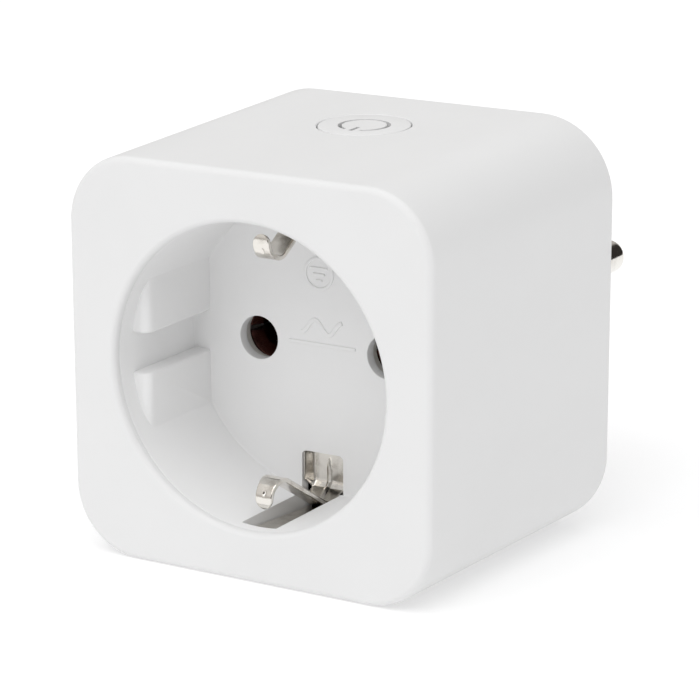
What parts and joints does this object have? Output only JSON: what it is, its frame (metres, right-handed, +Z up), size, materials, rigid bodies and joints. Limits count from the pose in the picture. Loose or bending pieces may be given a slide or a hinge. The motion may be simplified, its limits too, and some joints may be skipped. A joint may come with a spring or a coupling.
{
  "type": "smart plug",
  "caption": "Cube-shaped plug-in switch with an earthed round socket in front, a two-pin round plug behind, sprung earth clips and a push button on top.",
  "frame": {"origin": "centre of the plug boss face that meets the wall socket, midway between the pins", "axes": "+Y along the pins, away from the housing; +Z up, through the push button; +X to the right seen from the socket side"},
  "size_m": [0.055, 0.0825, 0.055],
  "materials": {
    "white_housing": "satin-gloss moulded ABS or polycarbonate",
    "white_socket": "satin moulded plastic",
    "white_cover": "fine matt moulded plastic",
    "white_button": "satin moulded plastic",
    "smoke_diffuser": "translucent grey light guide",
    "screw_steel": "zinc plated steel",
    "switch_black": "moulded nylon",
    "board_green": "glass-epoxy board with solder mask",
    "led_lens": "clear LED package",
    "shield_tin": "tin plated steel can",
    "relay_black": "black moulded plastic",
    "bobbin_nylon": "natural nylon",
    "coil_copper": "enamelled copper wire",
    "relay_iron": "nickel plated soft iron",
    "contact_brass": "bare stamped brass",
    "ferrite": "sintered ferrite",
    "winding_tape": "yellow winding tape",
    "capacitor_sleeve": "shrink sleeve over an aluminium can",
    "film_capacitor_yellow": "yellow plastic case",
    "varistor_blue": "blue epoxy coating",
    "resistor_ceramic": "flame-proof coating",
    "carrier_plastic": "moulded thermoplastic polyester",
    "nickel_pin": "nickel plated brass",
    "nickel_strip": "nickel plated spring bronze"
  },
  "bodies": {
    "body": {"housing": "white_housing", "socket_insert": "white_socket", "back_cover": "white_cover", "cover_screws": "screw_steel", "switch_body": "switch_black", "button_board": "board_green", "indicator_leds": "led_lens", "main_board": "board_green", "wifi_board": "board_green", "wifi_shield": "shield_tin", "relay_case": "relay_black", "relay_base": "relay_black", "relay_bobbin": "bobbin_nylon", "relay_coil": "coil_copper", "relay_yoke": "relay_iron", "relay_contacts": "contact_brass", "transformer_core": "ferrite", "transformer_bobbin": "relay_black", "transformer_winding": "winding_tape", "supply_capacitors": "capacitor_sleeve", "filter_capacitor": "film_capacitor_yellow", "varistor": "varistor_blue", "fuse_resistor": "resistor_ceramic", "choke": "ferrite", "contact_carrier": "carrier_plastic", "live_contact": "contact_brass", "neutral_contact": "contact_brass", "contact_springs": "screw_steel", "live_pin": "nickel_pin", "neutral_pin": "nickel_pin", "pin_retainer": "carrier_plastic", "live_busbar": "contact_brass", "neutral_busbar": "contact_brass", "load_busbar": "contact_brass", "earth_clip_top": "nickel_strip", "earth_clip_bottom": "nickel_strip", "earth_strap_top": "nickel_strip", "earth_strap_bottom": "nickel_strip"},
    "button": {"button_cap": "white_button", "light_guide": "smoke_diffuser"},
    "plunger": {"switch_plunger": "switch_black"},
    "armature": {"relay_armature": "relay_iron", "relay_leaf": "contact_brass"},
    "top_earth_arm": {"earth_arm_top": "nickel_strip"},
    "bottom_earth_arm": {"earth_arm_bottom": "nickel_strip"}
  },
  "joints": [
    {"name": "button_press", "type": "slide", "parent": "body", "child": "button", "axis": [0, 0, -1], "range_m": [0, 0.00035], "stiffness_N_per_m": 4000},
    {"name": "switch_press", "type": "slide", "parent": "body", "child": "plunger", "axis": [0, 0, -1], "range_m": [0, 0.00035]},
    {"name": "armature_swing", "type": "hinge", "parent": "body", "child": "armature", "pos_m": [0.0053, -0.0384, -0.01455], "axis": [0, 0, 1], "range_deg": [0, 3.5], "stiffness_Nm_per_rad": 0.02},
    {"name": "top_earth_flex", "type": "hinge", "parent": "body", "child": "top_earth_arm", "pos_m": [0, -0.0462, 0.0207], "axis": [-1, 0, 0], "range_deg": [0, 10], "stiffness_Nm_per_rad": 0.5},
    {"name": "bottom_earth_flex", "type": "hinge", "parent": "body", "child": "bottom_earth_arm", "pos_m": [0, -0.0462, -0.0207], "axis": [1, 0, 0], "range_deg": [0, 10], "stiffness_Nm_per_rad": 0.5}
  ],
  "couplings": [
    {"joint": "switch_press", "follows": "button_press", "ratio": 1}
  ]
}
